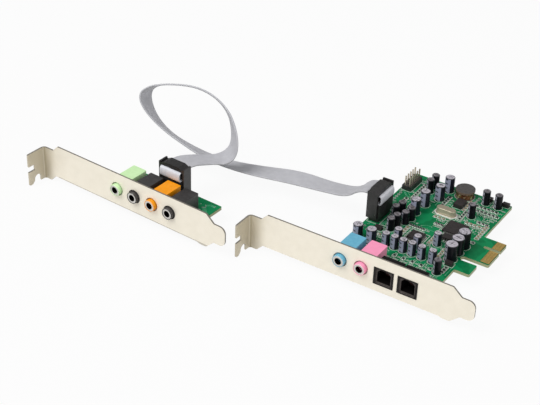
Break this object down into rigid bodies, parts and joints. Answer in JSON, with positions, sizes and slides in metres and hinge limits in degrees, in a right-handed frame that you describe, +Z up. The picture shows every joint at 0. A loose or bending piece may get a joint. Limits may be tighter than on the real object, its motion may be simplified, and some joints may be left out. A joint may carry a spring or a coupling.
{
  "type": "sound card",
  "caption": "Plug-in sound card on a slot bracket with audio jacks and optical sockets, joined by a looped flat ribbon to another slot bracket with more audio jacks.",
  "frame": {"origin": "on the floor under the middle of the two halves' overall box, ribbon left out", "axes": "+X along the brackets from tab to foot, +Y from the brackets into the card, +Z up"},
  "size_m": [0.243, 0.118, 0.048],
  "materials": {
    "bracket_steel": "plated, satin",
    "board_green": "solder mask over copper",
    "gold": "gold plated",
    "jack_blue": "moulded",
    "jack_pink": "moulded",
    "jack_green": "moulded",
    "jack_orange": "moulded",
    "jack_black": "moulded",
    "plated": "nickel plated",
    "tinned": "tinned",
    "optical_shell": "moulded",
    "light_guide": "clear",
    "plug_black": "moulded",
    "ribbon_grey": "ribbed",
    "can_top": "drawn",
    "sleeve_lavender": "shrunk film",
    "sleeve_black": "shrunk film",
    "chip_black": "moulded",
    "crystal_can": "drawn",
    "ferrite": "sintered",
    "copper": "enamelled",
    "ceramic": "fired"
  },
  "bodies": {
    "root": {"audio_controller": "chip_black", "audio_controller_leads": "tinned", "aux_board": "board_green", "aux_bracket": "bracket_steel", "aux_jack_sleeves": "plated", "aux_jack_springs": "tinned", "aux_plug_cover": "plug_black", "aux_plug_header_base": "plug_black", "aux_plug_header_pins": "gold", "aux_plug_ribbon_end": "ribbon_grey", "aux_plug_socket": "plug_black", "aux_plug_strain_relief": "plug_black", "centre_jack_housing": "jack_orange", "chip_ceramics": "ceramic", "chip_resistors": "chip_black", "chip_terminals": "tinned", "codec": "chip_black", "codec_leads": "tinned", "coil_core": "ferrite", "coil_winding": "copper", "crystal": "crystal_can", "dark_capacitor_cans": "can_top", "dark_capacitor_sleeves": "sleeve_black", "edge_contacts": "gold", "front_jack_housing": "jack_green", "large_capacitor_cans": "can_top", "large_capacitor_sleeves": "sleeve_black", "line_in_jack_housing": "jack_blue", "main_board": "board_green", "main_bracket": "bracket_steel", "main_jack_sleeves": "plated", "main_jack_springs": "tinned", "main_plug_cover": "plug_black", "main_plug_header_base": "plug_black", "main_plug_header_pins": "gold", "main_plug_ribbon_end": "ribbon_grey", "main_plug_socket": "plug_black", "main_plug_strain_relief": "plug_black", "microphone_jack_housing": "jack_pink", "optical_in_housing": "optical_shell", "optical_light_guides": "light_guide", "optical_out_housing": "optical_shell", "panel_header_base": "plug_black", "panel_header_pins": "gold", "power_chokes": "chip_black", "rear_jack_housing": "jack_black", "regulator": "chip_black", "ribbon_cable": "ribbon_grey", "rivets": "tinned", "side_jack_housing": "jack_black", "slim_capacitor_cans": "can_top", "slim_capacitor_sleeves": "sleeve_black", "small_capacitor_cans": "can_top", "small_capacitor_sleeves": "sleeve_lavender", "small_chip_leads": "tinned", "small_chips": "chip_black", "solder": "tinned", "tall_capacitor_cans": "can_top", "tall_capacitor_sleeves": "sleeve_black"}
  },
  "joints": []
}
